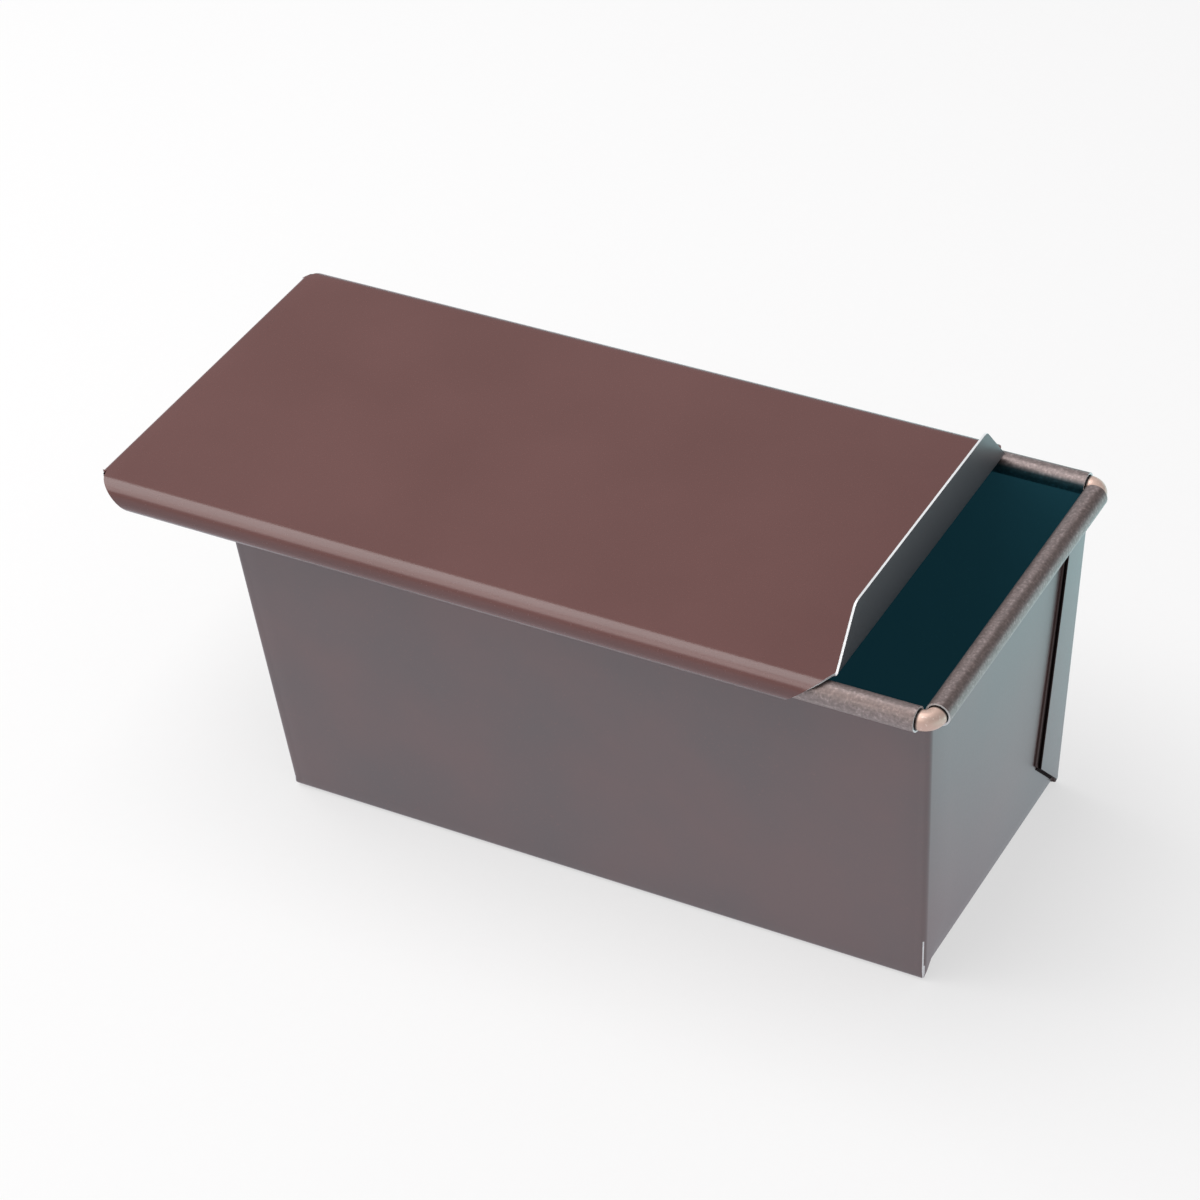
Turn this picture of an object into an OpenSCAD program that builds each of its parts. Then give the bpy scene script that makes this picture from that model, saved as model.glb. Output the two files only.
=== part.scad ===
// Pullman loaf pan: a pan folded from one sheet of steel, with its rim rolled round a wire,
// and a lid whose curled edges slide along the rim.
// The origin is the middle of the base. +X points to the end that the lid leaves open, +Z is up.

/* [Pan] */
// Length of the base, outside
base_length = 184.8; // [150:0.2:240]
// Width of the base, outside
base_width = 86; // [70:0.2:120]
// Height of the rim wire's centre line above the base
rim_height = 93; // [70:1:120]
// Outward lean of the four walls, in degrees
wall_lean = 3.5; // [1:0.1:6]
// Thickness of the pan's sheet
pan_sheet = 0.5; // [0.4:0.05:0.8]
// Outside radius of the fold between the base and the walls
base_fold = 1.5; // [1.1:0.1:4]
// Outside radius of the folds at the four upright corners
corner_fold = 1.5; // [1.1:0.1:2.5]

/* [Corner folds on the end walls] */
// Width of the outer leaf across the end wall, at its widest
leaf_width = 15; // [10:0.5:25]
// How much narrower the outer leaf is at its top
leaf_taper = 3.5; // [0:0.5:6]
// How far the inner leaf shows past the outer one, low down
leaf_step = 2.2; // [1:0.1:4]
// The same at the top
leaf_step_top = 0.6; // [0.3:0.1:4]
// Gap between the two leaves
leaf_gap = 0.4; // [0.2:0.05:0.8]

/* [Wired rim] */
// Thickness of the rim wire
wire_size = 5.2; // [4:0.1:6]
// Gap between the wire and the sheet rolled round it
wire_gap = 0.2; // [0.05:0.05:0.3]
// Radius of the wire's bend at each corner, to its centre line
wire_bend = 3.2; // [3.2:0.1:8]
// How far the rolled sheet stops short of each bare corner
bead_setback = 0.2; // [0.1:0.1:3]
// Angle between the wall and the rolled sheet's edge, round the wire
bead_opening = 40; // [35:1:80]

/* [Lid] */
// Length of the lid over its two ends
lid_length = 212; // [170:0.2:260]
// Thickness of the lid's sheet
lid_sheet = 0.6; // [0.5:0.05:1]
// Gap between the rim bead and the lid's curled edge
lid_clearance = 0.5; // [0.4:0.05:1]
// How far the curl's centre lies above the wire's
lid_rise = 0.2; // [0:0.05:0.3]
// How far the curl reaches round under the bead, past its lowest point, in degrees
curl_tuck = 28; // [5:1:32]
// How far the curls stop short of the lid's two ends
curl_inset = 2.1; // [1:0.1:5]
// Slope of the cut across each curl at the lip's end, in degrees from upright
curl_lip_slope = 52; // [20:1:58]
// The same at the stop's end
curl_stop_slope = 45; // [20:1:58]
// Turn of those cuts seen from above, in degrees
curl_end_turn = 15; // [0:1:25]
// Distance that the lid is drawn open
lid_open = 30.7; // [0:0.1:180]

/* [Lid ends] */
// Height of the turned-up lip above the lid
lip_height = 14.2; // [8:0.1:25]
// Distance from each curl to the foot of the lip
lip_relief = 2; // [0.8:0.1:12]
// Width lost at each end of the lip where it slopes to its top edge
lip_slope = 11.4; // [5:0.1:25]
// Radius of the lip's two top corners
lip_corner = 3; // [1:0.5:6]
// Depth of the turned-down stop below the lid's top
stop_depth = 6.5; // [5:0.1:9]
// How far the stop stands in from the lid's end
stop_inset = 0.8; // [0.6:0.1:3]
// Distance from each curl to the end of the stop
stop_relief = 1.2; // [0.8:0.1:12]
// Width lost at each end of the stop where it slopes to its lower edge
stop_slope = 6; // [1:0.5:12]
// Inside radius of the bends at the lip and the stop
end_fold = 0.8; // [0.4:0.1:2]

/* [Hidden] */
$fn = 96;

wire_radius = wire_size / 2;
bead_radius = wire_radius + wire_gap + pan_sheet;
// How far a wall plane moves outwards from the base to the wire's height
wall_run = rim_height * tan(wall_lean);
// How far the roll and the wall that it grows from run into each other
bead_bite = wire_gap / 2;
bead_offset = wall_run + (bead_radius - pan_sheet) / cos(wall_lean) - bead_bite;
// The wire's centre lines, to the nearest hundredth
bead_x = round(100 * (base_length / 2 + bead_offset)) / 100;
bead_y = round(100 * (base_width / 2 + bead_offset)) / 100;
corner_gap = max(wire_bend, bead_radius) + bead_setback;
// Height that the walls are made to, before they are trimmed square where the roll starts
wall_top = rim_height + bead_radius / 2;
// At the corners the walls end below the bare wire, and their folds a sheet's thickness lower
corner_top = rim_height - bead_radius;
leaf_top = corner_top - pan_sheet;
leaf_stack = 2 * pan_sheet + leaf_gap;
// The closed part of a corner fold, along the corner and along its sloping lower edge
leaf_closed = corner_fold + pan_sheet;
// How far the inside of a wall stands in from its outside, at the top face of the base
sheet_inset = pan_sheet * (1 / cos(wall_lean) - tan(wall_lean));
// Tilt of an upright corner's edge, and half the angle between the two walls that meet there
edge_tilt = atan(sqrt(2) * tan(wall_lean));
corner_half = (180 - acos(pow(sin(wall_lean), 2))) / 2;
// Half the angle between the base and a wall
foot_half = (90 + wall_lean) / 2;

curl_inner = bead_radius + lid_clearance;
curl_outer = curl_inner + lid_sheet;
curl_z = rim_height + lid_rise;
lid_under = curl_z + curl_inner;
lid_top = curl_z + curl_outer;
fold_outer = end_fold + lid_sheet;
// Flat facets round each fold. The base folds of the end walls and of the side walls have different
// numbers, so that their facets never meet four at a point.
corner_facets = 5;
side_facets = 5;
end_facets = 4;
// Past any edge that a cut has to clear
over = 5;

// Unit vector from one point towards another
function heading(from, to) = (to - from) / norm(to - from);

// Half the angle at a corner, between the directions to its two neighbours
function half_angle(before, corner, after) =
    acos(heading(corner, before) * heading(corner, after)) / 2;

// Where a corner's arc touches the side towards a neighbour
function touch(corner, neighbour, radius, half) =
    corner + heading(corner, neighbour) * radius / tan(half);

// Centre of a corner's arc
function arc_centre(before, corner, after, radius, half) =
    corner + heading([0, 0], heading(corner, before) + heading(corner, after)) * radius / sin(half);

// A convex outline with a radius of its own at each corner, where 0 leaves the corner sharp
module rounded_outline(corners, radii) {
    last = len(corners) - 1;
    before = [for (i = [0:last]) corners[i == 0 ? last : i - 1]];
    after = [for (i = [0:last]) corners[i == last ? 0 : i + 1]];
    half = [for (i = [0:last]) half_angle(before[i], corners[i], after[i])];
    polygon([
        for (i = [0:last])
            each radii[i] > 0
                ? [touch(corners[i], before[i], radii[i], half[i]),
                   touch(corners[i], after[i], radii[i], half[i])]
                : [corners[i]]
    ]);
    for (i = [0:last])
        if (radii[i] > 0)
            translate(arc_centre(before[i], corners[i], after[i], radii[i], half[i]))
                circle(r = radii[i]);
}

// Ring that a sheet makes when it is rolled round a wire, open from one angle to another
module rolled_section(inner, sheet, open_from, open_to) {
    reach = 2 * (inner + sheet);
    steps = 4;
    difference() {
        circle(r = inner + sheet);
        circle(r = inner);
        polygon([
            [0, 0],
            for (i = [0:steps])
                let (angle = open_from + (open_to - open_from) * i / steps)
                    reach * [cos(angle), sin(angle)]
        ]);
    }
}

// Everything outside a folded edge at the origin, in flat facets that touch the fold's radius.
// The solid lies towards -X, its two faces half_edge to either side of that line. The first and
// last facets run on past the faces, so that each crosses its face at a clear angle.
module fold_cutter(radius, half_edge, facets) {
    centre_x = -radius / sin(half_edge);
    step = (180 - 2 * half_edge) / (facets + 1);
    start = half_edge - 90;
    corner_reach = radius / cos(step / 2);
    run_on = [cos(start + step), sin(start + step)] * radius + [sin(start + step), -cos(start + step)] * over;
    difference() {
        translate([-over, -over])
            square(2 * over);
        translate([centre_x, 0])
            polygon([
                [-2 * over, -2 * over],
                [run_on[0], -2 * over],
                run_on,
                for (i = [1:facets - 1])
                    corner_reach * [cos(start + (i + 0.5) * step), sin(start + (i + 0.5) * step)],
                [run_on[0], -run_on[1]],
                [run_on[0], 2 * over],
                [-2 * over, 2 * over]
            ]);
    }
}

// Removes the sharp edge where two leaning walls meet
module corner_cutter(radius) {
    rotate([0, edge_tilt, 45])
        translate([0, 0, -over])
            linear_extrude(2 * rim_height)
                fold_cutter(radius, corner_half, corner_facets);
}

// Removes the sharp edges at the foot of the two walls that stand the given distance from the middle
module foot_cutters(distance, radius, facets) {
    for (turn = [0, 180])
        rotate([0, 0, turn])
            translate([0, distance, 0])
                rotate([90, 0, 90])
                    linear_extrude(2 * base_length, center = true)
                        rotate(-foot_half)
                            fold_cutter(radius, foot_half, facets);
}

module at_four_corners(x, y) {
    for (flip_x = [0, 1])
        for (flip_y = [0, 1])
            mirror([flip_x, 0, 0])
                mirror([0, flip_y, 0])
                    translate([x, y, 0])
                        children();
}

// Solid between two leaning planes
module lean_slab(distance, height, length) {
    run = height * tan(wall_lean);
    rotate([90, 0, 90])
        linear_extrude(length, center = true)
            polygon([[-distance, 0], [distance, 0], [distance + run, height], [-distance - run, height]]);
}

// Solid between the four wall planes, standing on a base of the given half sizes
module lean_block(half_x, half_y, height) {
    intersection() {
        lean_slab(half_y, height, 2 * (half_x + height));
        rotate([0, 0, 90])
            lean_slab(half_x, height, 2 * (half_y + height));
    }
}

// Sets a flat shape on the outside of the +X end wall: across the wall, up it, then out from it
module on_end_wall() {
    translate([base_length / 2, 0, 0])
        rotate([0, wall_lean, 0])
            rotate([90, 0, 90])
                children();
}

// Outline of one corner fold on the +Y side: a sloping closed edge from the foot of the corner,
// then a trimmed edge up to the rim, where the fold is narrower by its taper. It runs past the
// corner, where the side wall's plane cuts it.
module leaf_outline(width, taper) {
    foot = base_width / 2;
    top = leaf_top / cos(wall_lean);
    corner = foot + top * sin(wall_lean);
    polygon([
        [foot, 0],
        [foot + over, 0],
        [corner + over, top],
        [corner - width + taper, top],
        [foot - width, width]
    ]);
}

// Outline of the gap between the leaves, closed along the corner and along the sloping edge
module leaf_slot_outline() {
    foot = base_width / 2;
    top = leaf_top / cos(wall_lean) + over;
    corner = foot + top * sin(wall_lean);
    polygon([
        [foot - leaf_closed, 2 * leaf_closed],
        [corner - leaf_closed, top],
        [foot - leaf_width - over, top],
        [foot - leaf_width - over, leaf_width + over + leaf_closed]
    ]);
}

// The sheet left over at a corner, doubled and laid flat on the end wall
module corner_leaves() {
    root = pan_sheet / 2;
    difference() {
        translate([0, 0, -root])
            linear_extrude(leaf_stack + root)
                leaf_outline(leaf_width, leaf_taper);
        translate([0, 0, pan_sheet])
            linear_extrude(leaf_gap)
                leaf_slot_outline();
    }
    translate([0, 0, -root])
        linear_extrude(pan_sheet + root)
            leaf_outline(leaf_width + leaf_step, leaf_taper + leaf_step - leaf_step_top);
}

// All four corner folds, cut off flush with the side walls
module leaves_on_ends() {
    intersection() {
        for (flip_x = [0, 1])
            for (flip_y = [0, 1])
                mirror([flip_x, 0, 0])
                    on_end_wall()
                        mirror([flip_y, 0, 0])
                            corner_leaves();
        lean_slab(base_width / 2, wall_top, 2 * base_length);
    }
}

// Places something on the wire's centre line on each side of the rim, its length in $side_length
module on_each_side(setback) {
    for (side = [[0, bead_y, bead_x], [90, bead_x, bead_y], [180, bead_y, bead_x], [270, bead_x, bead_y]])
        rotate([0, 0, side[0]])
            translate([0, side[1], rim_height])
                let ($side_length = 2 * (side[2] - setback))
                    children();
}

// Sheet rolled round the wire, starting inside the wall
module bead() {
    rotate([90, 0, 90])
        linear_extrude($side_length, center = true)
            rolled_section(bead_radius - pan_sheet, pan_sheet, 180 + bead_opening / 2, 180 + bead_opening);
}

// Everything above the line where the roll starts
module wall_trim() {
    reach = bead_radius + over;
    rotate([-wall_lean, 0, 0])
        translate([-$side_length / 2, -reach, 0])
            cube([$side_length, reach, reach]);
}

// The pan filled solid, with its corner folds on the outside
module outer_form() {
    difference() {
        union() {
            difference() {
                lean_block(base_length / 2, base_width / 2, wall_top);
                rotate([0, 0, 90])
                    foot_cutters(base_length / 2, base_fold, end_facets);
            }
            leaves_on_ends();
        }
        foot_cutters(base_width / 2, base_fold, side_facets);
        at_four_corners(base_length / 2 + leaf_stack / cos(wall_lean), base_width / 2)
            corner_cutter(corner_fold);
    }
}

// The room inside the pan, open at the top
module inner_form() {
    inner_x = base_length / 2 - sheet_inset;
    inner_y = base_width / 2 - sheet_inset;
    translate([0, 0, pan_sheet])
        difference() {
            lean_block(inner_x, inner_y, wall_top);
            foot_cutters(inner_y, base_fold - pan_sheet, side_facets);
            rotate([0, 0, 90])
                foot_cutters(inner_x, base_fold - pan_sheet, end_facets);
            at_four_corners(inner_x, inner_y)
                corner_cutter(corner_fold - pan_sheet);
        }
}

module pan_body() {
    color("rosybrown") {
        difference() {
            outer_form();
            inner_form();
            at_four_corners(bead_x - corner_gap, bead_y - corner_gap)
                translate([0, 0, corner_top])
                    cube([bead_radius + corner_gap, bead_radius + corner_gap, rim_height]);
            on_each_side(corner_gap)
                wall_trim();
        }
        on_each_side(corner_gap)
            bead();
    }
}

// Straight part of the wire along one side
module wire_side() {
    rotate([90, 0, 90])
        linear_extrude($side_length, center = true)
            circle(r = wire_radius);
}

// Quarter of a ring of wire, from +X round to +Y
module wire_corner() {
    rotate_extrude(angle = 90)
        translate([wire_bend, 0])
            circle(r = wire_radius);
}

module rim_wire() {
    x = bead_x - wire_bend;
    y = bead_y - wire_bend;
    color("peru") {
        on_each_side(wire_bend)
            wire_side();
        for (corner = [[x, y, 0], [-x, y, 90], [-x, -y, 180], [x, -y, 270]])
            translate([corner[0], corner[1], rim_height])
                rotate([0, 0, corner[2]])
                    wire_corner();
    }
}

// The flat sheet with both its curled edges, seen along the lid
module lid_section() {
    translate([-bead_y, lid_under])
        square([2 * bead_y, lid_sheet]);
    for (flip = [0, 1])
        mirror([flip, 0])
            translate([bead_y, curl_z])
                rolled_section(curl_inner, lid_sheet, 90, 270 - curl_tuck);
}

// Everything past the sloping cuts across the curls' ends. A cut starts from the crease and goes
// round to the tucked edge, and it leaves the flat sheet whole.
module curl_ends() {
    for (end = [[0, curl_lip_slope], [1, curl_stop_slope]])
        for (flip_y = [0, 1])
            mirror([end[0], 0, 0])
                mirror([0, flip_y, 0])
                    intersection() {
                        translate([lid_length / 2 - curl_inset, bead_y, lid_top])
                            rotate([0, end[1], curl_end_turn])
                                translate([0, -lid_length / 2, -lid_length / 2])
                                    cube(lid_length);
                        union() {
                            translate([0, bead_y, 0])
                                cube([lid_length, lid_length, 2 * lid_top]);
                            cube([lid_length, lid_length, curl_z]);
                        }
                    }
}

// Flat sheet between the curls, open at both ends for the lip's bend and the stop's
module lid_plate() {
    stop_half = bead_y - stop_relief;
    difference() {
        rotate([90, 0, 90])
            linear_extrude(lid_length, center = true)
                lid_section();
        curl_ends();
        translate([lid_length / 2 - fold_outer, -bead_y, 0])
            cube([over, 2 * bead_y, 2 * lid_top]);
        translate([-lid_length / 2 - over, -stop_half, 0])
            cube([over + stop_inset + fold_outer, 2 * stop_half, 2 * lid_top]);
    }
}

// A short run of flat sheet, then a bend and a strip turned up from it, in profile, its outer face
// on x = 0
module turned_profile(height) {
    translate([-fold_outer - over, 0])
        square([over, lid_sheet]);
    translate([-fold_outer, 0])
        intersection() {
            translate([0, fold_outer])
                difference() {
                    circle(r = fold_outer);
                    circle(r = end_fold);
                }
            square(fold_outer);
        }
    translate([-lid_sheet, fold_outer])
        square([lid_sheet, height - fold_outer]);
}

// A turned end of the given height, trimmed to a flat outline that faces along X
module turned_end(height) {
    intersection() {
        rotate([90, 0, 0])
            linear_extrude(2 * bead_y, center = true)
                turned_profile(height);
        rotate([90, 0, 90])
            linear_extrude(2 * (fold_outer + over), center = true)
                children();
    }
}

module finger_lip() {
    height = lid_sheet + lip_height;
    half = bead_y - lip_relief;
    top_half = half - lip_slope;
    translate([lid_length / 2, 0, lid_under])
        turned_end(height)
            rounded_outline(
                [[-half, 0], [half, 0], [half, lid_sheet], [top_half, height],
                 [-top_half, height], [-half, lid_sheet]],
                [0, 0, 0, lip_corner, lip_corner, 0]
            );
}

module end_stop() {
    half = bead_y - stop_relief;
    translate([stop_inset - lid_length / 2, 0, lid_top])
        rotate([0, 180, 0])
            turned_end(stop_depth)
                rounded_outline(
                    [[-half, 0], [half, 0], [half - stop_slope, stop_depth], [stop_slope - half, stop_depth]],
                    [0, 0, fold_outer, fold_outer]
                );
}

module sliding_lid() {
    color("indianred")
        translate([-lid_open, 0, 0]) {
            lid_plate();
            finger_lip();
            end_stop();
        }
}

pan_body();
rim_wire();
sliding_lid();
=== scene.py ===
import math

import bmesh
import bpy
import numpy as np
from mathutils import Matrix, Vector


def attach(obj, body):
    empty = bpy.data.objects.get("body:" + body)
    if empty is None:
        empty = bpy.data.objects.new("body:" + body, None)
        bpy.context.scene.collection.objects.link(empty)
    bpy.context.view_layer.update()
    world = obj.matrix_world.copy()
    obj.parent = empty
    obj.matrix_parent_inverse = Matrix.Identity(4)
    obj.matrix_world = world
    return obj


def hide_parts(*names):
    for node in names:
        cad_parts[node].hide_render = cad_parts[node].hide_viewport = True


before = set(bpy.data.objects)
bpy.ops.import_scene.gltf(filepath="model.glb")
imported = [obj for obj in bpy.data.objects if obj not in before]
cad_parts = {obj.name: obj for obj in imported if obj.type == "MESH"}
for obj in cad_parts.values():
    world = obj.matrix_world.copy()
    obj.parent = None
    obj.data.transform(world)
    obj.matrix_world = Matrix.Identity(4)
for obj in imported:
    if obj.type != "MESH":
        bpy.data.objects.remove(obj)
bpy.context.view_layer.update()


# The pan's sheet: one blank of thin steel folded up at four creases, its spare corners doubled and
# laid flat on the end walls, and its rim rolled outwards round a wire. The outside has a satin brown
# finish and the inside a dark one. Cut ends show bare steel, and the foot of each folded corner is
# steel-coloured up to a height.

LEAN = math.radians(3.5)
SHEET = 0.5
FOLD = 1.5
FOOT = {"x": 92.4, "y": 43.0}
RIM_Z = 93.0
WALL_TOP = 89.7
LEAF_TOP = 89.2
ROLL_IN = 2.78
ROLL_OUT = ROLL_IN + SHEET
CORNER_GAP = 3.5


def wall_at(foot, z):
    """Distance of a wall's outside from the middle of the pan at height z, in millimetres."""
    return foot + z * math.tan(LEAN)


def roll_centre(foot):
    """Distance of the rim wire from the middle, where the roll runs smoothly out of the wall."""
    bite = 0.08
    return wall_at(foot, RIM_Z) + ROLL_IN / math.cos(LEAN) - bite


def make_mesh(name, points, faces, materials, sharp=35, way_round=None):
    """Closed mesh from points in millimetres and faces as (corner list, material index). Points on the
    roll carry how far round it they lie, from 0 to 1."""
    mesh = bpy.data.meshes.new(name)
    mesh.from_pydata([tuple(0.001 * c for c in p) for p in points], [], [f for f, _ in faces])
    for m in materials:
        mesh.materials.append(m)
    mesh.polygons.foreach_set("material_index", [m for _, m in faces])
    if way_round:
        mesh.attributes.new("round_the_roll", "FLOAT", "POINT").data.foreach_set(
            "value", [way_round.get(i, 0) for i in range(len(points))])
    bm = bmesh.new()
    bm.from_mesh(mesh)
    bmesh.ops.remove_doubles(bm, verts=bm.verts, dist=2e-6)
    bmesh.ops.dissolve_degenerate(bm, edges=bm.edges, dist=1e-7)
    bmesh.ops.recalc_face_normals(bm, faces=bm.faces)
    bm.to_mesh(mesh)
    bm.free()
    mesh.shade_smooth()
    mesh.set_sharp_from_angle(angle=math.radians(sharp))
    obj = bpy.data.objects.new(name, mesh)
    bpy.context.scene.collection.objects.link(obj)
    return obj


def marks_group():
    """Slow mottling, fine speckle and a faintly uneven surface, in the piece's own coordinates."""
    group = bpy.data.node_groups.new("sheet_marks", "ShaderNodeTree")
    group.interface.new_socket("Unevenness", in_out="INPUT", socket_type="NodeSocketFloat")
    group.interface.new_socket("Mottle", in_out="OUTPUT", socket_type="NodeSocketFloat")
    group.interface.new_socket("Speckle", in_out="OUTPUT", socket_type="NodeSocketFloat")
    group.interface.new_socket("Normal", in_out="OUTPUT", socket_type="NodeSocketVector")
    n, link = group.nodes, group.links.new
    wave_depth, grain_depth = 0.0006, 0.00001
    given = n.new("NodeGroupInput")
    out = n.new("NodeGroupOutput")
    place = n.new("ShaderNodeTexCoord")
    slow = n.new("ShaderNodeTexNoise")
    slow.inputs["Scale"].default_value = 22
    slow.inputs["Detail"].default_value = 4
    fine = n.new("ShaderNodeTexNoise")
    fine.inputs["Scale"].default_value = 1400
    fine.inputs["Detail"].default_value = 3
    wave = n.new("ShaderNodeTexNoise")
    wave.inputs["Scale"].default_value = 14
    wave.inputs["Detail"].default_value = 1
    height = n.new("ShaderNodeMath")
    height.operation = "MULTIPLY_ADD"
    height.inputs[1].default_value = wave_depth
    grain = n.new("ShaderNodeMath")
    grain.operation = "MULTIPLY"
    grain.inputs[1].default_value = grain_depth
    bump = n.new("ShaderNodeBump")
    bump.inputs["Distance"].default_value = 1
    for texture in (slow, fine, wave):
        link(place.outputs["Object"], texture.inputs["Vector"])
    link(fine.outputs["Fac"], grain.inputs[0])
    link(wave.outputs["Fac"], height.inputs[0])
    link(grain.outputs[0], height.inputs[2])
    link(height.outputs[0], bump.inputs["Height"])
    link(given.outputs["Unevenness"], bump.inputs["Strength"])
    link(slow.outputs["Fac"], out.inputs["Mottle"])
    link(fine.outputs["Fac"], out.inputs["Speckle"])
    link(bump.outputs["Normal"], out.inputs["Normal"])
    return group


MARKS = marks_group()


def finish(name, dark, light, metallic, roughness, unevenness, speckle_tone=None, speckle_at=0.62, ior=1.5,
           fine_grained=False):
    """Material whose colour wanders between two tones, with fine specks of a third. A fine-grained one
    wanders at the size of the specks."""
    speck_edge, roughness_swing = 0.1, 0.04
    material = bpy.data.materials.new(name)
    material.use_nodes = True
    n, link = material.node_tree.nodes, material.node_tree.links.new
    shader = n["Principled BSDF"]
    marks = n.new("ShaderNodeGroup")
    marks.node_tree = MARKS
    marks.inputs["Unevenness"].default_value = unevenness
    spread = n.new("ShaderNodeMapRange")
    spread.inputs["From Min"].default_value = 0.35
    spread.inputs["From Max"].default_value = 0.65
    tone = n.new("ShaderNodeMix")
    tone.data_type = "RGBA"
    tone.inputs["A"].default_value = (*dark, 1)
    tone.inputs["B"].default_value = (*light, 1)
    specks = n.new("ShaderNodeMapRange")
    specks.inputs["From Min"].default_value = speckle_at
    specks.inputs["From Max"].default_value = speckle_at + speck_edge
    specked = n.new("ShaderNodeMix")
    specked.data_type = "RGBA"
    specked.inputs["B"].default_value = (*(speckle_tone or [1.08 * c for c in light]), 1)
    rough = n.new("ShaderNodeMapRange")
    rough.inputs["To Min"].default_value = roughness - roughness_swing
    rough.inputs["To Max"].default_value = roughness + roughness_swing
    link(marks.outputs["Speckle" if fine_grained else "Mottle"], spread.inputs["Value"])
    link(spread.outputs["Result"], tone.inputs["Factor"])
    link(marks.outputs["Speckle"], specks.inputs["Value"])
    link(specks.outputs["Result"], specked.inputs["Factor"])
    link(tone.outputs["Result"], specked.inputs["A"])
    link(specked.outputs["Result"], shader.inputs["Base Color"])
    link(marks.outputs["Speckle"], rough.inputs["Value"])
    link(rough.outputs["Result"], shader.inputs["Roughness"])
    link(marks.outputs["Normal"], shader.inputs["Normal"])
    shader.inputs["Metallic"].default_value = metallic
    shader.inputs["IOR"].default_value = ior
    return material


pan_outside = finish("pan_coating_outside", (0.100, 0.068, 0.069), (0.130, 0.071, 0.069), 0.0, 0.32, 0.25,
                     ior=1.8)
pan_inside = finish("pan_coating_inside", (0.010, 0.060, 0.080), (0.014, 0.075, 0.100), 0.0, 0.45, 0.3)
pan_roll = finish("pan_roll", (0.21, 0.165, 0.158), (0.32, 0.25, 0.24), 0.4, 0.38, 0.5,
                  (0.40, 0.32, 0.31), 0.60, fine_grained=True)
cut_steel = finish("cut_steel", (0.78, 0.79, 0.80), (0.92, 0.93, 0.94), 0.2, 0.40, 0.3)
# Painted shade for the corners' slots and cut edges, a band below their folds and the roll round the wire
fold_shade = finish("fold_shade", (0.018, 0.011, 0.011), (0.026, 0.016, 0.016), 0.0, 0.8, 0.3, ior=1.15)
fold_brown = finish("fold_brown", (0.070, 0.042, 0.041), (0.090, 0.055, 0.053), 0.0, 0.7, 0.3, ior=1.3)


def add_glow(material, tone):
    """A trace of light that stands for what bounces about between dark walls too often to trace."""
    shader = material.node_tree.nodes["Principled BSDF"]
    shader.inputs["Emission Color"].default_value = (*tone, 1)
    shader.inputs["Emission Strength"].default_value = 1


add_glow(pan_inside, (0.0035, 0.017, 0.023))


def paint_shade_round_the_roll(material):
    """Painted shade where the roll leaves the tub, a darker, browner line past its crown, then painted light:
    paler and cooler down the outside.
    """
    n, link = material.node_tree.nodes, material.node_tree.links.new
    shader = n["Principled BSDF"]
    coat = shader.inputs["Base Color"].links[0].from_socket
    way = n.new("ShaderNodeAttribute")
    way.attribute_name = "round_the_roll"
    ramp = n.new("ShaderNodeValToRGB")
    stops = [(0.0, (0.05, 0.30, 0.42)), (0.10, (0.05, 0.20, 0.26)), (0.17, (0.8, 0.8, 0.8)),
             (0.32, (1.05, 1.05, 1.05)), (0.37, (0.62, 0.58, 0.56)), (0.42, (0.62, 0.58, 0.56)),
             (0.50, (1.1, 1.15, 1.15)), (1.0, (1.2, 1.25, 1.25))]
    while len(ramp.color_ramp.elements) < len(stops):
        ramp.color_ramp.elements.new(0.5)
    for element, (position, tone) in zip(ramp.color_ramp.elements, stops):
        element.position = position
        element.color = (*tone, 1)
    shaded = n.new("ShaderNodeMix")
    shaded.data_type = "RGBA"
    shaded.blend_type = "MULTIPLY"
    shaded.inputs["Factor"].default_value = 1
    link(way.outputs["Fac"], ramp.inputs["Fac"])
    link(coat, shaded.inputs["A"])
    link(ramp.outputs["Color"], shaded.inputs["B"])
    link(shaded.outputs["Result"], shader.inputs["Base Color"])


paint_shade_round_the_roll(pan_roll)


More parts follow.
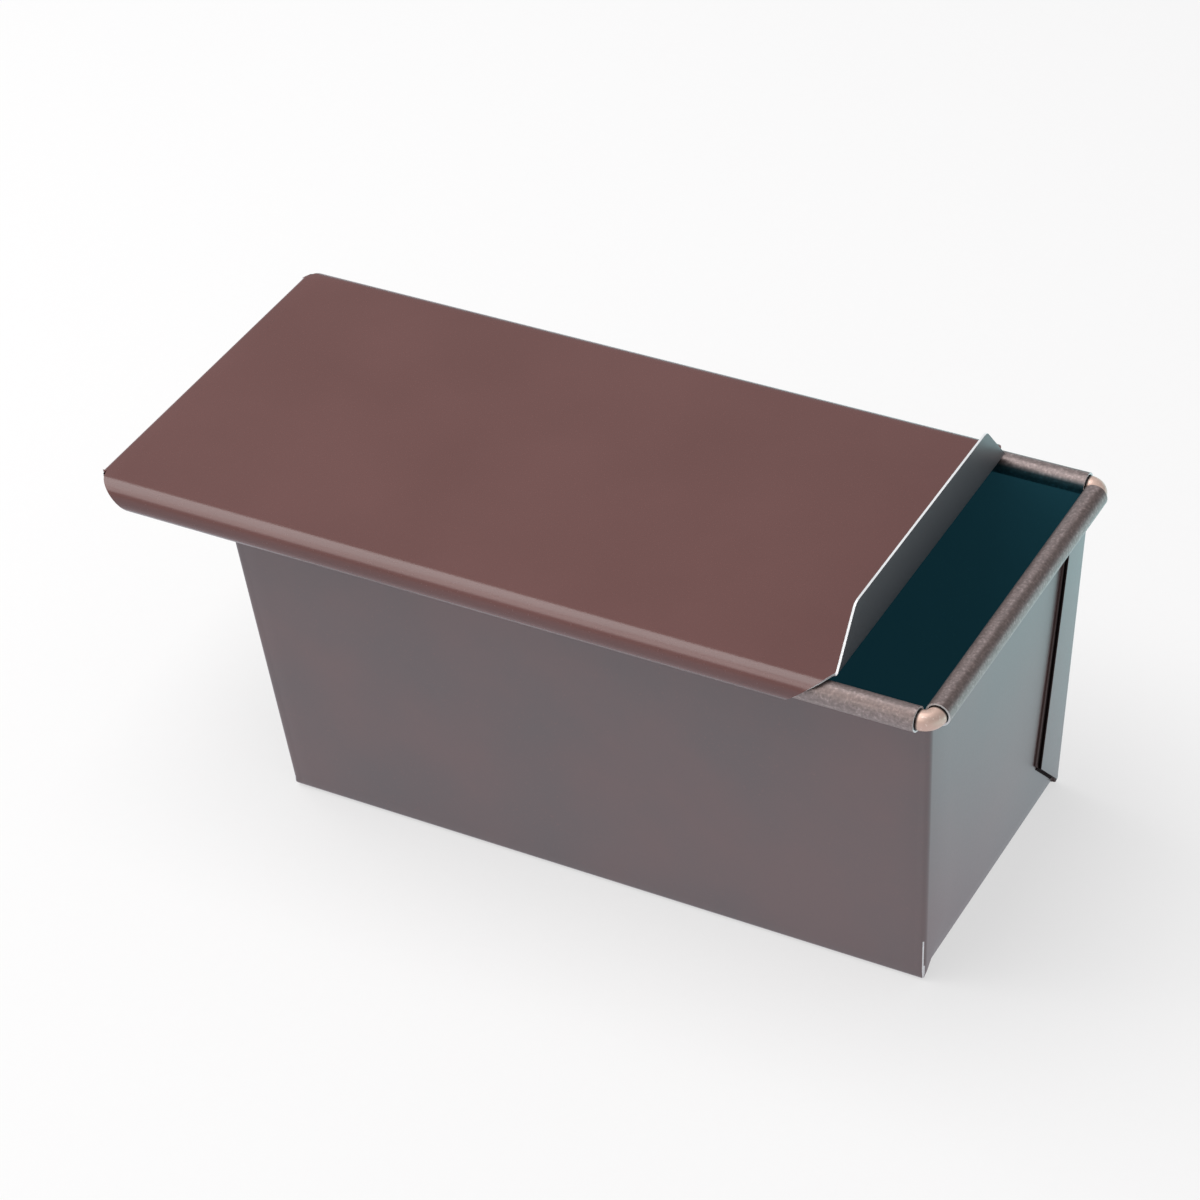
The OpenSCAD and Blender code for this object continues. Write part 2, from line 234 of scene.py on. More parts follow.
def pan_sheet():
    """Tub, roll and end caps as one closed shell, then the four doubled corners on the end walls."""
    thick = SHEET / math.cos(LEAN)
    sides = [("x", 1, 24), ("y", 1, 48), ("x", -1, 24), ("y", -1, 48)]
    quarters = {("x", 1): 0, ("y", 1): 90, ("x", -1): 180, ("y", -1): 270}
    corners = {("x", 1): (1, 1), ("y", 1): (-1, 1), ("x", -1): (-1, -1), ("y", -1): (1, -1)}
    arc_steps, fold_steps, roll_steps = 6, 6, 36
    levels = [4 + 4.28 * i for i in range(20)] + [87.5, WALL_TOP]
    coated, dark, rolled, bare, shaded, browned = range(6)
    points, faces, way_round = [], [], {}

    def add(ring):
        start = len(points)
        points.extend(ring)
        return list(range(start, start + len(ring)))

    def bulge(sign, share, z):
        """Slight waviness of a wall, nothing at its edges and its foot."""
        flat_foot, bow, ripple = 3, 0.10, 0.05
        edge = (1 - share * share) * math.sin(math.pi * max(z - flat_foot, 0) / (WALL_TOP - flat_foot))
        return edge * (bow * math.sin(2.3 * share + sign) + ripple * math.sin(0.07 * z + 5 * share))

    def loop(half_x, half_y, radius, z):
        """Rounded rectangle seen from above, anticlockwise from the foot of the +X side."""
        half = {"x": half_x, "y": half_y}
        ring, spans = [], []
        for axis, sign, steps in sides:
            reach = (half_y if axis == "x" else half_x) - radius
            begin = len(ring)
            for i in range(steps + 1):
                share = -1 + 2 * i / steps
                out = half[axis] + bulge(sign, share, z)
                along = share * reach
                ring.append((sign * out, sign * along, z) if axis == "x" else (-sign * along, sign * out, z))
            spans.append((begin, len(ring) - 1))
            corner_x, corner_y = corners[axis, sign]
            centre_x, centre_y = corner_x * (half_x - radius), corner_y * (half_y - radius)
            for i in range(1, arc_steps):
                a = math.radians(quarters[axis, sign]) + math.radians(90) * i / arc_steps
                ring.append((centre_x + radius * math.cos(a), centre_y + radius * math.sin(a), z))
        return ring, spans

    def skin(fold, inset, floor_z):
        """Rings of one face of the sheet, from the edge of its floor up to the foot of the roll."""
        rings = []
        set_back = thick * inset - floor_z * math.tan(LEAN) + fold / math.cos(LEAN) - fold * math.tan(LEAN)
        for i in range(fold_steps + 1):
            a = (math.pi / 2 - LEAN) * i / fold_steps
            out = fold * math.sin(a)
            ring, spans = loop(FOOT["x"] - set_back + out, FOOT["y"] - set_back + out, out,
                               floor_z + fold - fold * math.cos(a))
            rings.append(add(ring))
        for z in levels:
            half_x, half_y = (wall_at(FOOT[k], z) - thick * inset for k in ("x", "y"))
            ring, spans = loop(half_x, half_y, FOLD - thick * inset, z)
            rings.append(add(ring))
        for low, high in zip(rings, rings[1:]):
            for i in range(len(low)):
                j = (i + 1) % len(low)
                faces.append(([low[i], low[j], high[j], high[i]], dark if inset else coated))
        return rings, spans

    outer, spans = skin(FOLD, 0, 0.0)
    inner, _ = skin(FOLD - SHEET, 1, SHEET)

    # The floor's two faces, as grids between the edges of the walls
    for rings, z, tone in ((outer, 0.0, coated), (inner, SHEET, dark)):
        (east_from, east_to), (north_from, north_to) = spans[:2]
        east = [points[rings[0][i]] for i in range(east_from, east_to + 1)]
        north = [points[rings[0][i]] for i in range(north_from, north_to + 1)]
        grid = [add([(n[0], e[1], z) for n in north]) for e in east]
        for low, high in zip(grid, grid[1:]):
            for i in range(len(low) - 1):
                faces.append(([low[i], low[i + 1], high[i + 1], high[i]], tone))

    # The walls' cut edge at the four corners, where nothing is rolled
    top_out, top_in = outer[-1], inner[-1]
    count = len(top_out)
    for side, (begin, end) in enumerate(spans):
        follow = spans[side + 1][0] if side < 3 else count
        for i in range(end, follow):
            j = (i + 1) % count
            faces.append(([top_out[i], top_out[j], top_in[j], top_in[i]], bare))

    # The roll along each side, which grows out of both faces of the wall
    neck = [WALL_TOP, 91.0, 92.2]
    roll_start, roll_turn = 176.7, 316.7
    edge_angle, edge_round = math.radians(1.5), 0.15
    angles = [math.radians(roll_start - roll_turn * i / roll_steps) for i in range(roll_steps + 1)]
    # The roll's face round the wire is painted shade, seen as a dark crescent at the roll's cut ends
    tones = [coated] * 2 + [shaded] * len(angles) + [bare] * 3 + [rolled] * len(angles) + [dark] * 2
    for (axis, sign, steps), (begin, end) in zip(sides, spans):
        centre = roll_centre(FOOT[axis])
        half_run = roll_centre(FOOT["y" if axis == "x" else "x"]) - CORNER_GAP

        def strip(radius, inset):
            path = [(wall_at(FOOT[axis], z) - thick * inset, z) for z in neck]
            path += [(centre + radius * math.cos(a), RIM_Z + radius * math.sin(a)) for a in angles]
            return path

        inside, outside = strip(ROLL_IN, 0), strip(ROLL_OUT, 1)
        last = angles[-1] - edge_angle
        lip = [(centre + r * math.cos(last), RIM_Z + r * math.sin(last))
               for r in (ROLL_IN + edge_round, ROLL_OUT - edge_round)]
        section = inside + lip + outside[::-1]
        columns = []
        for i in range(begin, end + 1):
            x, y, _ = points[top_out[i]]
            run = (sign if axis == "x" else -sign) * half_run * (-1 + 2 * (i - begin) / steps)
            column = []
            for k, (u, z) in enumerate(section):
                along = (y if axis == "x" else x) if k in (0, len(section) - 1) else run
                column.append((sign * u, along, z) if axis == "x" else (along, sign * u, z))
            columns.append(add(column))
            for k in range(len(outside)):
                way_round[columns[-1][-1 - k]] = max(0, k - 2) / (len(outside) - 3)
        for one, two in zip(columns, columns[1:]):
            for k, tone in enumerate(tones):
                faces.append(([one[k], two[k], two[k + 1], one[k + 1]], tone))
        for column in (columns[0], columns[-1]):
            for k in range(len(inside) - 1):
                faces.append(([column[k], column[k + 1], column[-2 - k], column[-1 - k]], bare))
            faces.append((column[len(inside) - 1:len(inside) + 3], bare))

    def leaf_width(widest, taper, z):
        """A leaf widens at 45 degrees from the foot of its corner, then narrows by its taper to the rim."""
        least = 0.9
        return max(z if z <= widest else widest - taper * (z - widest) / (LEAF_TOP - widest), least)

    def doubled_corner(sx, sy, brightened, strip_tone):
        """One corner's spare sheet: two layers on the end wall, closed below, open along their cut edge.
        Its folded corner is steel-coloured from the foot up to a height. The slot and cut edge of the leaves
        and a thin band on the wall below the closed fold are painted shade."""
        gap, closed, slot_depth = 0.4, 15.0, 3.0
        stack, foot_stack, full_from = 2 * SHEET + gap, 0.9, 2
        root, root_round, buried, edge_round = 1.5, 1.2, 0.3, 0.06
        upper_leaf, lower_leaf = (15, 3.5), (17.2, 5.1)
        heights = [0.25, 0.6, 1.0, 1.5, 2.2, 3, 5, 8, 11, 14, 14.9, 15.0, 17.1, 17.3]
        heights += [20 + 5.76 * i for i in range(12)] + [LEAF_TOP]
        rings = []
        for z in heights:
            wall = wall_at(FOOT["x"], z)
            if z < FOLD * (1 - math.sin(LEAN)):
                base = FOOT["y"] - FOLD / math.cos(LEAN) + FOLD * math.tan(LEAN)
                side = base + math.sqrt(FOLD ** 2 - (FOLD - z) ** 2)
            else:
                side = wall_at(FOOT["y"], z)
            narrow, wide = leaf_width(*upper_leaf, z), leaf_width(*lower_leaf, z)
            is_open = z >= closed
            depth = slot_depth if is_open else 0.0
            stands = stack if z > full_from else foot_stack + (stack - foot_stack) * z / full_from
            slot_in, slot_out = (SHEET, stands - SHEET) if is_open else (stands / 2, stands / 2)
            # A nose closes the doubled edge below, and small leaves get smaller bends
            radius = min(FOLD, 0.6 * narrow)
            nose = 0.0 if is_open else min(0.45, 0.3 * narrow)
            ring = [(-root, 0), (stands - radius - 0.01, 0)]
            for i in range(1, 7):
                a = math.radians(90 - 15 * i)
                ring.append((stands - radius + radius * math.cos(a), radius * math.sin(a) - radius))
            ring += [(stands, -narrow + nose + edge_round),
                     (stands - edge_round - 0.35 * nose, -narrow + 0.25 * nose)]
            edge = len(ring) - 1
            ring += [(slot_out, -narrow), (slot_out, -narrow + depth), (slot_in, -narrow + depth)]
            shelf = len(ring) - 1
            if is_open:
                ring += [(slot_in, -0.55 * narrow - 0.45 * wide), (slot_in, -wide + edge_round),
                         (slot_in - edge_round, -wide), (-buried, -wide)]
            else:
                # Below the closed fold a thin dark band lies on the wall: painted shadow
                painted_shadow_band = min(0.9, 0.5 * z)
                ring += [(0.06, -narrow), (0.05, -narrow - 0.5 * painted_shadow_band), (0.05, -narrow - painted_shadow_band),
                         (-buried, -narrow - painted_shadow_band)]
            for i in range(5):
                a = math.radians(22.5 * i)
                ring.append((-root + root_round * math.cos(a), -root + root_round * math.sin(a)))
            rings.append(add([(sx * (wall + u), sy * (side + v), z) for u, v in ring]))
        for z, low, high in zip(heights, rings, rings[1:]):
            for i in range(len(low)):
                j = (i + 1) % len(low)
                tone = coated
                # The leaf's cut edge, the slot behind it and the band below the closed fold are painted shade
                if z >= full_from and edge <= i < shelf + 4:
                    tone = strip_tone if z >= closed and i > shelf else shaded
                # The foot of the folded corner takes the bright steel colour up to a given height
                elif i == 3 and z < brightened or i == 4 and z < 0.35 * brightened:
                    tone = bare
                faces.append(([low[i], low[j], high[j], high[i]], tone))
        faces.append((rings[0][::-1], coated))
        faces.append((rings[-1], bare))

    doubled_corner(1, 1, 5, browned)
    doubled_corner(1, -1, 11.5, coated)
    doubled_corner(-1, 1, 8, coated)
    doubled_corner(-1, -1, 3, browned)
    materials = [pan_outside, pan_inside, pan_roll, cut_steel, fold_shade, fold_brown]
    return make_mesh("pan_sheet", points, faces, materials, way_round=way_round)


pan = pan_sheet()
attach(pan, "pan")
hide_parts("pan_body")


# The rim wire: one length of round coppered steel wire bent to the shape of the rim. The sheet is
# rolled round its straight sides, and its four bends stay bare, dulled by handling.

wire_finish = finish("rim_wire_copper", (0.68, 0.47, 0.39), (0.80, 0.58, 0.49), 0.45, 0.42, 0.5,
                     (0.86, 0.68, 0.60), 0.6)


def paint_shade_where_it_enters(material, bare_x, bare_y):
    """Painted shade: dark rings on the bare bends of the wire where they run in under the rolled sheet."""
    n, link = material.node_tree.nodes, material.node_tree.links.new
    shader = n["Principled BSDF"]
    coat = shader.inputs["Base Color"].links[0].from_socket
    place = n.new("ShaderNodeTexCoord")
    split = n.new("ShaderNodeSeparateXYZ")
    link(place.outputs["Object"], split.inputs["Vector"])
    beyond = []
    for axis, begin in (("X", bare_x), ("Y", bare_y)):
        size = n.new("ShaderNodeMath")
        size.operation = "ABSOLUTE"
        past = n.new("ShaderNodeMath")
        past.operation = "SUBTRACT"
        past.inputs[1].default_value = 0.001 * begin
        link(split.outputs[axis], size.inputs[0])
        link(size.outputs[0], past.inputs[0])
        beyond.append(past)
    nearer = n.new("ShaderNodeMath")
    nearer.operation = "MINIMUM"
    out_of_shade = n.new("ShaderNodeMapRange")
    out_of_shade.inputs["From Min"].default_value = 0.0004
    out_of_shade.inputs["From Max"].default_value = 0.0009
    # The near-black tone is painted shade where the roll covers the wire
    shaded_ring = n.new("ShaderNodeMix")
    shaded_ring.data_type = "RGBA"
    shaded_ring.inputs["A"].default_value = (0.012, 0.006, 0.004, 1)
    link(beyond[0].outputs[0], nearer.inputs[0])
    link(beyond[1].outputs[0], nearer.inputs[1])
    link(nearer.outputs[0], out_of_shade.inputs["Value"])
    link(out_of_shade.outputs["Result"], shaded_ring.inputs["Factor"])
    link(coat, shaded_ring.inputs["B"])
    link(shaded_ring.outputs["Result"], shader.inputs["Base Color"])


paint_shade_where_it_enters(wire_finish, roll_centre(FOOT["x"]) - CORNER_GAP, roll_centre(FOOT["y"]) - CORNER_GAP)


def rim_wire():
    """Swept with Geometry Nodes: a rectangle with filleted corners carries a round section."""
    tree = bpy.data.node_groups.new("swept_ring", "GeometryNodeTree")
    sizes = {"Length": 2 * roll_centre(FOOT["x"]), "Width": 2 * roll_centre(FOOT["y"]), "Bend": 3.2,
             "Wire Radius": 2.6, "Height": RIM_Z}
    sockets = {k: tree.interface.new_socket(k, in_out="INPUT", socket_type="NodeSocketFloat").identifier
               for k in sizes}
    steps = tree.interface.new_socket("Bend Steps", in_out="INPUT", socket_type="NodeSocketInt").identifier
    tree.interface.new_socket("Geometry", in_out="OUTPUT", socket_type="NodeSocketGeometry")
    n, link = tree.nodes, tree.links.new
    given, out = n.new("NodeGroupInput"), n.new("NodeGroupOutput")
    path = n.new("GeometryNodeCurvePrimitiveQuadrilateral")
    bend = n.new("GeometryNodeFilletCurve")
    bend.mode = "POLY"
    section = n.new("GeometryNodeCurvePrimitiveCircle")
    section.inputs["Resolution"].default_value = 40
    sweep = n.new("GeometryNodeCurveToMesh")
    lift = n.new("ShaderNodeCombineXYZ")
    move = n.new("GeometryNodeTransform")
    smooth = n.new("GeometryNodeSetShadeSmooth")
    real = n.new("GeometryNodeRealizeInstances")
    paint = n.new("GeometryNodeSetMaterial")
    paint.inputs["Material"].default_value = wire_finish
    link(given.outputs["Length"], path.inputs["Width"])
    link(given.outputs["Width"], path.inputs["Height"])
    link(path.outputs[0], bend.inputs["Curve"])
    link(given.outputs["Bend"], bend.inputs["Radius"])
    link(given.outputs["Bend Steps"], bend.inputs["Count"])
    link(given.outputs["Wire Radius"], section.inputs["Radius"])
    link(bend.outputs["Curve"], sweep.inputs["Curve"])
    link(section.outputs["Curve"], sweep.inputs["Profile Curve"])
    link(sweep.outputs["Mesh"], smooth.inputs["Geometry"])
    link(given.outputs["Height"], lift.inputs["Z"])
    link(smooth.outputs["Geometry"], move.inputs["Geometry"])
    link(lift.outputs["Vector"], move.inputs["Translation"])
    link(move.outputs["Geometry"], real.inputs["Geometry"])
    link(real.outputs["Geometry"], paint.inputs["Geometry"])
    link(paint.outputs["Geometry"], out.inputs["Geometry"])
    obj = bpy.data.objects.new("wire_ring", bpy.data.meshes.new("wire_seed"))
    bpy.context.scene.collection.objects.link(obj)
    modifier = obj.modifiers.new("swept_ring", "NODES")
    modifier.node_group = tree
    for k, v in sizes.items():
        modifier[sockets[k]] = 0.001 * v
    modifier[steps] = 16
    bpy.context.view_layer.update()
    made = bpy.data.meshes.new_from_object(obj.evaluated_get(bpy.context.evaluated_depsgraph_get()))
    obj.modifiers.clear()
    obj.data = made
    made.name = "wire_ring"
    return obj


wire = rim_wire()
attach(wire, "pan")
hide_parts("rim_wire")


# The lid: a flat sheet with both long edges curled under so that they slide along the pan's rim, the
# right end turned up into a finger lip and the left end turned down into a stop. It is redder than the
# pan, grey underneath and bright along its cut edges. A paler band along the outside of its curls is
# a painted reflection.

lid_coating = finish("lid_coating", (0.132, 0.049, 0.043), (0.144, 0.055, 0.049), 0.0, 0.26, 0.06,
                     speckle_at=0.9, ior=1.6)
# A paler tone for the outside of the curls: a painted reflection
curl_painted_reflection = finish("curl_painted_reflection", (0.24, 0.19, 0.19), (0.32, 0.26, 0.26), 0.3, 0.34, 0.3)
lid_under = finish("lid_coating_under", (0.140, 0.138, 0.146), (0.158, 0.156, 0.165), 0.0, 0.38, 0.2, ior=1.6)


def lid_sheet():
    """Plate, both curls, lip and stop, made from strips that share their edges."""
    left, right = -136.7, 75.3
    sheet, top, half = 0.6, 97.595, 51.39
    centre_z, outer, inside = 93.2, 4.395, 3.795
    bend_in, bend_out = 0.8, 1.4
    stop_inset, curl_inset, lip_relief, stop_relief = 0.15, 2.1, 1.8, 1.9
    lip_height, lip_slope, lip_corner = 14.2, 11.4, 3.0
    stop_depth, stop_slope = 6.5, 6.0
    ear_inset, ear_pull, plate_dip = 0.2, 0.35, 0.12
    lip_half, stop_half = half - lip_relief, half - stop_relief
    plate_left, plate_right = left + stop_inset + bend_out, right - bend_out
    red, grey, bare, brightened = range(4)
    points, faces = [], []

    def add(row):
        start = len(points)
        points.extend(row)
        return list(range(start, start + len(row)))

    def join(one, two, material):
        for i in range(len(one) - 1):
            faces.append(([one[i], one[i + 1], two[i + 1], two[i]], material))

    def close_ends(rows, facing_rows):
        """Cut edges at both ends of two skins, row by row."""
        for k in (0, -1):
            for i in range(len(rows) - 1):
                faces.append(([rows[i][k], rows[i + 1][k], facing_rows[i + 1][k], facing_rows[i][k]], bare))

    even = {round(v, 4) for v in np.linspace(-stop_half, stop_half, 25)}
    across = sorted(even | {-half, half, -stop_half, stop_half, -lip_half, lip_half})
    along = np.linspace(0, 1, 50)
    stop_from, stop_to = across.index(-stop_half), across.index(stop_half)

    def at_crease(y):
        return abs(y) > half - 0.01

    def sag(x, y):
        """The plate isn't quite flat: it dips by about a tenth of a millimetre away from its edges."""
        share = (x - left) / (right - left)
        dip = plate_dip * (1 - (y / half) ** 2) * (0.6 + 0.4 * math.sin(5 * share))
        return -math.sin(math.pi * share) * dip

    def plate_x(s, y):
        """Across the lip's end the corners of the plate are cut off from the lip's foot to the crease."""
        short = curl_inset - bend_out if at_crease(y) else 0
        return plate_left + (plate_right - short - plate_left) * s

    def ear_tip(y):
        """End of the plate beside the stop, cut back to the crease of the curl."""
        return left + (curl_inset if at_crease(y) else ear_inset), y

    def ear_drop(y):
        """The ears are pulled down a little with the stop's bend."""
        return 0 if at_crease(y) else -ear_pull

    ends = []
    for z_face, material in ((top, red), (top - sheet, grey)):
        rows = [add([(plate_x(s, y), y, z_face + sag(plate_x(s, y), y)) for y in across]) for s in along]
        for one, two in zip(rows, rows[1:]):
            join(one, two, material)
        for begin, end in ((0, stop_from), (stop_to, len(across) - 1)):
            ear = add([(*ear_tip(y), z_face + ear_drop(y)) for y in across[begin:end + 1]])
            join(rows[0][begin:end + 1], ear, material)
        ends.append((rows[0], rows[-1]))
    (top_first, top_last), (low_first, low_last) = ends

    # Cut edges of the ears at the left end
    for begin, end, inner_end in ((0, stop_from, stop_from), (stop_to, len(across) - 1, stop_to)):
        high, low = (add([(*ear_tip(y), z + ear_drop(y)) for y in across[begin:end + 1]])
                     for z in (top, top - sheet))
        join(high, low, bare)
        y = across[inner_end]
        high, low = (add([(plate_left, y, z + sag(plate_left, y)), (*ear_tip(y), z + ear_drop(y))])
                     for z in (top, top - sheet))
        join(high, low, bare)

    def turned(x0, way, height, width_at, first_high, first_low, ys):
        """Bend and flat strip that go on from the plate, up where way is 1 and down where it is -1."""
        stations = (0.15, 0.3, 0.45, 0.6, 0.7, 0.78, 0.84, 0.88, 0.92, 0.95, 0.975, 0.99, 1.0)
        pivot_z = top - sheet + bend_out if way > 0 else top - bend_out
        path_far, path_near = [], []
        for i in range(1, 7):
            a = math.radians(15 * i)
            path_far.append((x0 + way * bend_out * math.sin(a), pivot_z - way * bend_out * math.cos(a)))
            path_near.append((x0 + way * bend_in * math.sin(a), pivot_z - way * bend_in * math.cos(a)))
        (far_x, start), near_x = path_far[-1], path_near[-1][0]
        reach = top + way * height
        for s in stations:
            z = start + (reach - start) * s
            path_far.append((far_x, z))
            path_near.append((near_x, z))
        widest = max(abs(y) for y in ys)
        far_rows, near_rows = ([first_low], [first_high]) if way > 0 else ([first_high], [first_low])
        for (fx, fz), (nx, nz) in zip(path_far, path_near):
            share = width_at(abs(fz - top)) / widest
            far_rows.append(add([(fx, y * share, fz) for y in ys]))
            near_rows.append(add([(nx, y * share, nz) for y in ys]))
        far_tone, near_tone = (grey, red) if way > 0 else (red, grey)
        for one, two in zip(far_rows, far_rows[1:]):
            join(one, two, far_tone)
        for one, two in zip(near_rows, near_rows[1:]):
            join(one, two, near_tone)
        join(far_rows[-1], near_rows[-1], bare)
        close_ends(far_rows, near_rows)

    def lip_width(h):
        """Half width of the lip at height h above the lid: sloping ends, then a rounded corner."""
        turn = math.atan2(lip_height, lip_slope)
        tangent = lip_corner / math.tan((math.pi - turn) / 2)
        start = lip_height - tangent * math.sin(turn)
        if h <= start:
            return lip_half - lip_slope * max(h, 0) / lip_height
        centre = (lip_half - lip_slope * start / lip_height) - lip_corner * math.sin(turn)
        middle = lip_height - lip_corner
        return centre + math.sqrt(max(lip_corner ** 2 - (h - middle) ** 2, 0))

    def stop_width(h):
        """Half width of the stop at depth h below the lid: it slopes in below its bend."""
        return stop_half - stop_slope * max(h - bend_out, 0) / (stop_depth - bend_out)

    turned(plate_right, 1, lip_height, lip_width, top_last[1:-1], low_last[1:-1], across[1:-1])
    join(top_last[:2], low_last[:2], bare)
    join(top_last[-2:], low_last[-2:], bare)
    mid = slice(stop_from, stop_to + 1)
    turned(plate_left, -1, stop_depth, stop_width, top_first[mid], low_first[mid], across[mid])

    # Both curls, from the crease out, down and in under the rim
    curl_steps, tuck = 34, 28
    lip_slant, flare = 1.28, 0.27
    # Between these angles the outside of each curl is painted paler, a painted reflection
    reflection_from, reflection_to = -0.95, -0.38
    angles = [math.radians(90 - (180 + tuck) * i / curl_steps) for i in range(curl_steps + 1)]
    for side in (1, -1):
        def row(radius, a):
            """One line along the curl. Its slanted ends draw back as it goes down."""
            y, z = half + radius * math.cos(a), centre_z + radius * math.sin(a)
            if a == angles[0]:
                return add([(x, side * y, z) for x in [left + curl_inset] + [plate_x(s, y) for s in along]])
            middle, drop, out = 0.5 * (inside + outer), 1 - math.sin(a), flare * math.cos(a)
            first = left + curl_inset + middle * (drop + out)
            last = right - curl_inset - middle * (lip_slant * drop + out)
            return add([(first + (last - first) * (i / len(along)), side * y, z)
                        for i in range(len(along) + 1)])

        out_rows = [row(outer, a) for a in angles]
        in_rows = [row(inside, a) for a in angles]
        for a, one, two in zip(angles, out_rows, out_rows[1:]):
            join(one, two, brightened if reflection_from < a < reflection_to else red)
        for one, two in zip(in_rows, in_rows[1:]):
            join(one, two, grey)
        join(out_rows[-1], in_rows[-1], bare)
        close_ends(out_rows, in_rows)
    return make_mesh("lid_sheet", points, faces, [lid_coating, lid_under, cut_steel, curl_painted_reflection], sharp=50)


lid = lid_sheet()
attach(lid, "lid")
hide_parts("sliding_lid")


# The studio: a white sweep lit evenly from above, as in a catalogue photograph, and the camera at the
# photograph's height and turn.

floor_mesh = bpy.data.meshes.new("floor")
reach, floor_z = 6, -0.0003
floor_corners = [(-reach, -reach), (reach, -reach), (reach, reach), (-reach, reach)]
floor_mesh.from_pydata([(x, y, floor_z) for x, y in floor_corners], [], [(0, 1, 2, 3)])
floor = bpy.data.objects.new("floor", floor_mesh)
bpy.context.scene.collection.objects.link(floor)
paper = bpy.data.materials.new("paper")
paper.use_nodes = True
nodes, links = paper.node_tree.nodes, paper.node_tree.links.new
weave = nodes.new("ShaderNodeTexNoise")
weave.inputs["Scale"].default_value = 300
where = nodes.new("ShaderNodeTexCoord")
pale = nodes.new("ShaderNodeMix")
pale.data_type = "RGBA"
pale.inputs["A"].default_value = (0.90, 0.90, 0.90, 1)
pale.inputs["B"].default_value = (0.92, 0.92, 0.92, 1)
links(where.outputs["Object"], weave.inputs["Vector"])
links(weave.outputs["Fac"], pale.inputs["Factor"])
links(pale.outputs["Result"], nodes["Principled BSDF"].inputs["Base Color"])
nodes["Principled BSDF"].inputs["Roughness"].default_value = 0.9
nodes["Principled BSDF"].inputs["Specular IOR Level"].default_value = 0.1

# What the pan's walls reflect of the floor: paler and cooler towards the right and the back
rays = nodes.new("ShaderNodeLightPath")
spot = nodes.new("ShaderNodeSeparateXYZ")
white_share = 0.6
diagonal = nodes.new("ShaderNodeMath")
diagonal.operation = "ADD"
turns_cool = nodes.new("ShaderNodeMapRange")
turns_cool.inputs["From Min"].default_value = 0.08
turns_cool.inputs["From Max"].default_value = 0.28
tint = nodes.new("ShaderNodeMix")
tint.data_type = "RGBA"
tint.inputs["A"].default_value = (0.87, 0.88, 0.95, 1)
tint.inputs["B"].default_value = (1.02, 1.48, 1.53, 1)
seen = nodes.new("ShaderNodeMix")
seen.data_type = "RGBA"
seen.inputs["B"].default_value = (1, 1, 1, 1)
glow = nodes.new("ShaderNodeEmission")
glow_share = nodes.new("ShaderNodeMath")
glow_share.operation = "MULTIPLY_ADD"
glow_share.inputs[1].default_value = white_share
both = nodes.new("ShaderNodeMixShader")
links(where.outputs["Object"], spot.inputs["Vector"])
links(spot.outputs["X"], diagonal.inputs[0])
links(spot.outputs["Y"], diagonal.inputs[1])
links(diagonal.outputs[0], turns_cool.inputs["Value"])
links(turns_cool.outputs["Result"], tint.inputs["Factor"])
links(tint.outputs["Result"], seen.inputs["A"])
links(rays.outputs["Is Camera Ray"], seen.inputs["Factor"])
links(seen.outputs["Result"], glow.inputs["Color"])
links(rays.outputs["Is Camera Ray"], glow_share.inputs[0])
links(rays.outputs["Is Glossy Ray"], glow_share.inputs[2])
links(glow_share.outputs[0], both.inputs["Fac"])
links(nodes["Principled BSDF"].outputs["BSDF"], both.inputs[1])
links(glow.outputs["Emission"], both.inputs[2])
links(both.outputs["Shader"], nodes["Material Output"].inputs["Surface"])
floor_mesh.materials.append(paper)

# The studio's walls, which light the part evenly. Reflections see them paler low down in front.
world = bpy.data.worlds.new("studio")
bpy.context.scene.world = world
world.use_nodes = True
sky, wire_up = world.node_tree.nodes, world.node_tree.links.new
ray = sky.new("ShaderNodeLightPath")
direction = sky.new("ShaderNodeTexCoord")
rise = sky.new("ShaderNodeSeparateXYZ")
fade = sky.new("ShaderNodeMapRange")
fade.inputs["From Min"].default_value = 0.15
fade.inputs["From Max"].default_value = 0.45
fade.interpolation_type = "SMOOTHSTEP"
gloss = sky.new("ShaderNodeMix")
gloss.data_type = "RGBA"
before = sky.new("ShaderNodeMapRange")
before.inputs["From Min"].default_value = -0.5
before.inputs["From Max"].default_value = 0.2
low_sky = sky.new("ShaderNodeMix")
low_sky.data_type = "RGBA"
low_sky.inputs["A"].default_value = (0.76, 0.72, 0.72, 1)
low_sky.inputs["B"].default_value = (0.34, 0.42, 0.46, 1)
gloss.inputs["B"].default_value = (0.38, 0.43, 0.45, 1)
fill = sky.new("ShaderNodeMix")
fill.data_type = "RGBA"
fill.inputs["A"].default_value = (0.40, 0.40, 0.41, 1)
shown = sky.new("ShaderNodeMix")
shown.data_type = "RGBA"
shown.inputs["B"].default_value = (1, 1, 1, 1)
wire_up(direction.outputs["Generated"], rise.inputs["Vector"])
wire_up(rise.outputs["Z"], fade.inputs["Value"])
wire_up(rise.outputs["Y"], before.inputs["Value"])
wire_up(before.outputs["Result"], low_sky.inputs["Factor"])
wire_up(low_sky.outputs["Result"], gloss.inputs["A"])
wire_up(fade.outputs["Result"], gloss.inputs["Factor"])

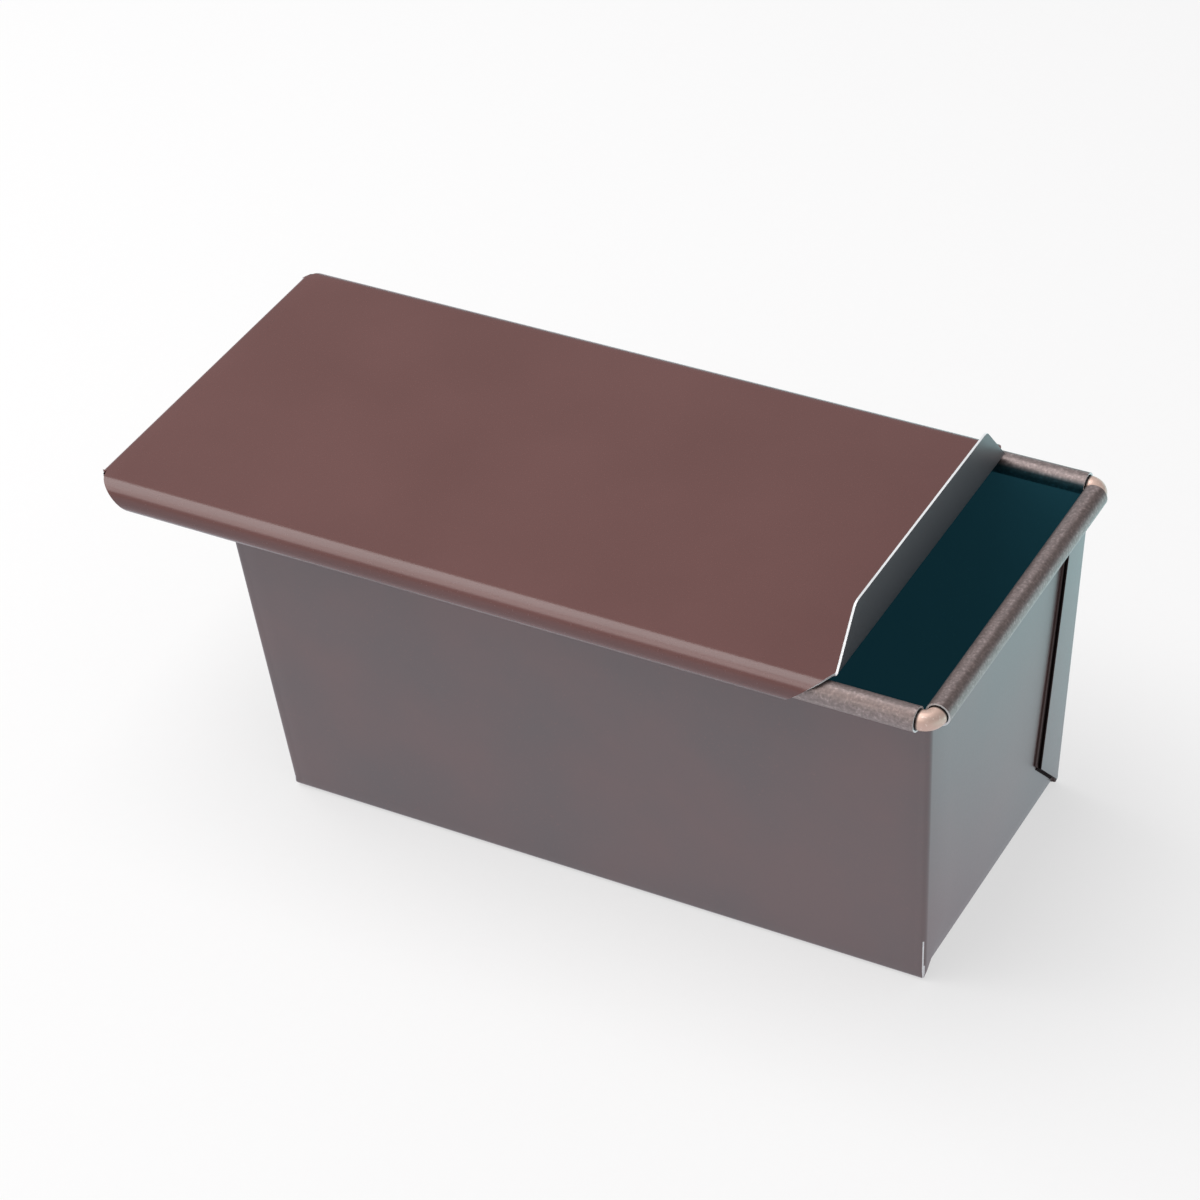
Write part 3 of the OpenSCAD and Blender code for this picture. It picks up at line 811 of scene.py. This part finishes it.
# A long bright window that only reflections see, which draws the highlight along the lid's curl
window_direction, window_stretch = (-0.18, -0.71, 0.68), (0.4, 1, 1)
narrow = sky.new("ShaderNodeVectorMath")
narrow.operation = "MULTIPLY"
narrow.inputs[1].default_value = window_stretch
level = sky.new("ShaderNodeVectorMath")
level.operation = "NORMALIZE"
toward = sky.new("ShaderNodeVectorMath")
toward.operation = "DOT_PRODUCT"
toward.inputs[1].default_value = window_direction
patch = sky.new("ShaderNodeMapRange")
patch.inputs["From Min"].default_value = 0.955
patch.inputs["From Max"].default_value = 0.975
window = sky.new("ShaderNodeMix")
window.data_type = "RGBA"
window.inputs["B"].default_value = (2.9, 2.85, 2.82, 1)
wire_up(direction.outputs["Generated"], narrow.inputs[0])
wire_up(narrow.outputs[0], level.inputs[0])
wire_up(level.outputs[0], toward.inputs[0])
wire_up(toward.outputs["Value"], patch.inputs["Value"])
wire_up(patch.outputs["Result"], window.inputs["Factor"])
wire_up(gloss.outputs["Result"], window.inputs["A"])
wire_up(window.outputs["Result"], fill.inputs["B"])
wire_up(ray.outputs["Is Glossy Ray"], fill.inputs["Factor"])
wire_up(fill.outputs["Result"], shown.inputs["A"])
wire_up(ray.outputs["Is Camera Ray"], shown.inputs["Factor"])
wire_up(shown.outputs["Result"], sky["Background"].inputs["Color"])


def soft_box(name, place, aim, size, watts, colour):
    """Rectangular soft light at a place, turned to face a point."""
    data = bpy.data.lights.new(name, "AREA")
    data.shape = "RECTANGLE"
    data.size, data.size_y = size
    data.energy = watts
    data.color = colour
    light = bpy.data.objects.new(name, data)
    light.location = place
    light.rotation_euler = (Vector(aim) - Vector(place)).to_track_quat("-Z", "Y").to_euler()
    bpy.context.scene.collection.objects.link(light)


soft_box("key", (-0.50, -0.10, 1.18), (0, -0.10, 0.05), (1.1, 1.5), 15, (1, 0.985, 0.975))

camera_data = bpy.data.cameras.new("camera")
focal_pixels, photo_pixels = 3997.9, 1200
camera_data.sensor_width = 36
camera_data.lens = focal_pixels / photo_pixels * camera_data.sensor_width
camera = bpy.data.objects.new("camera", camera_data)
bpy.context.scene.collection.objects.link(camera)
turn, height, roll = math.radians(31.017), math.radians(37.495), math.radians(-4.372)
facing = (Matrix.Rotation(turn, 4, "Z") @ Matrix.Rotation(math.pi / 2 - height, 4, "X")
          @ Matrix.Rotation(roll, 4, "Z"))
shift_right, shift_up, distance = -0.019864, 0.049034, 1.077783
camera.matrix_world = facing @ Matrix.Translation((shift_right, shift_up, distance))
bpy.context.scene.camera = camera
bpy.context.scene.view_settings.view_transform = "Standard"
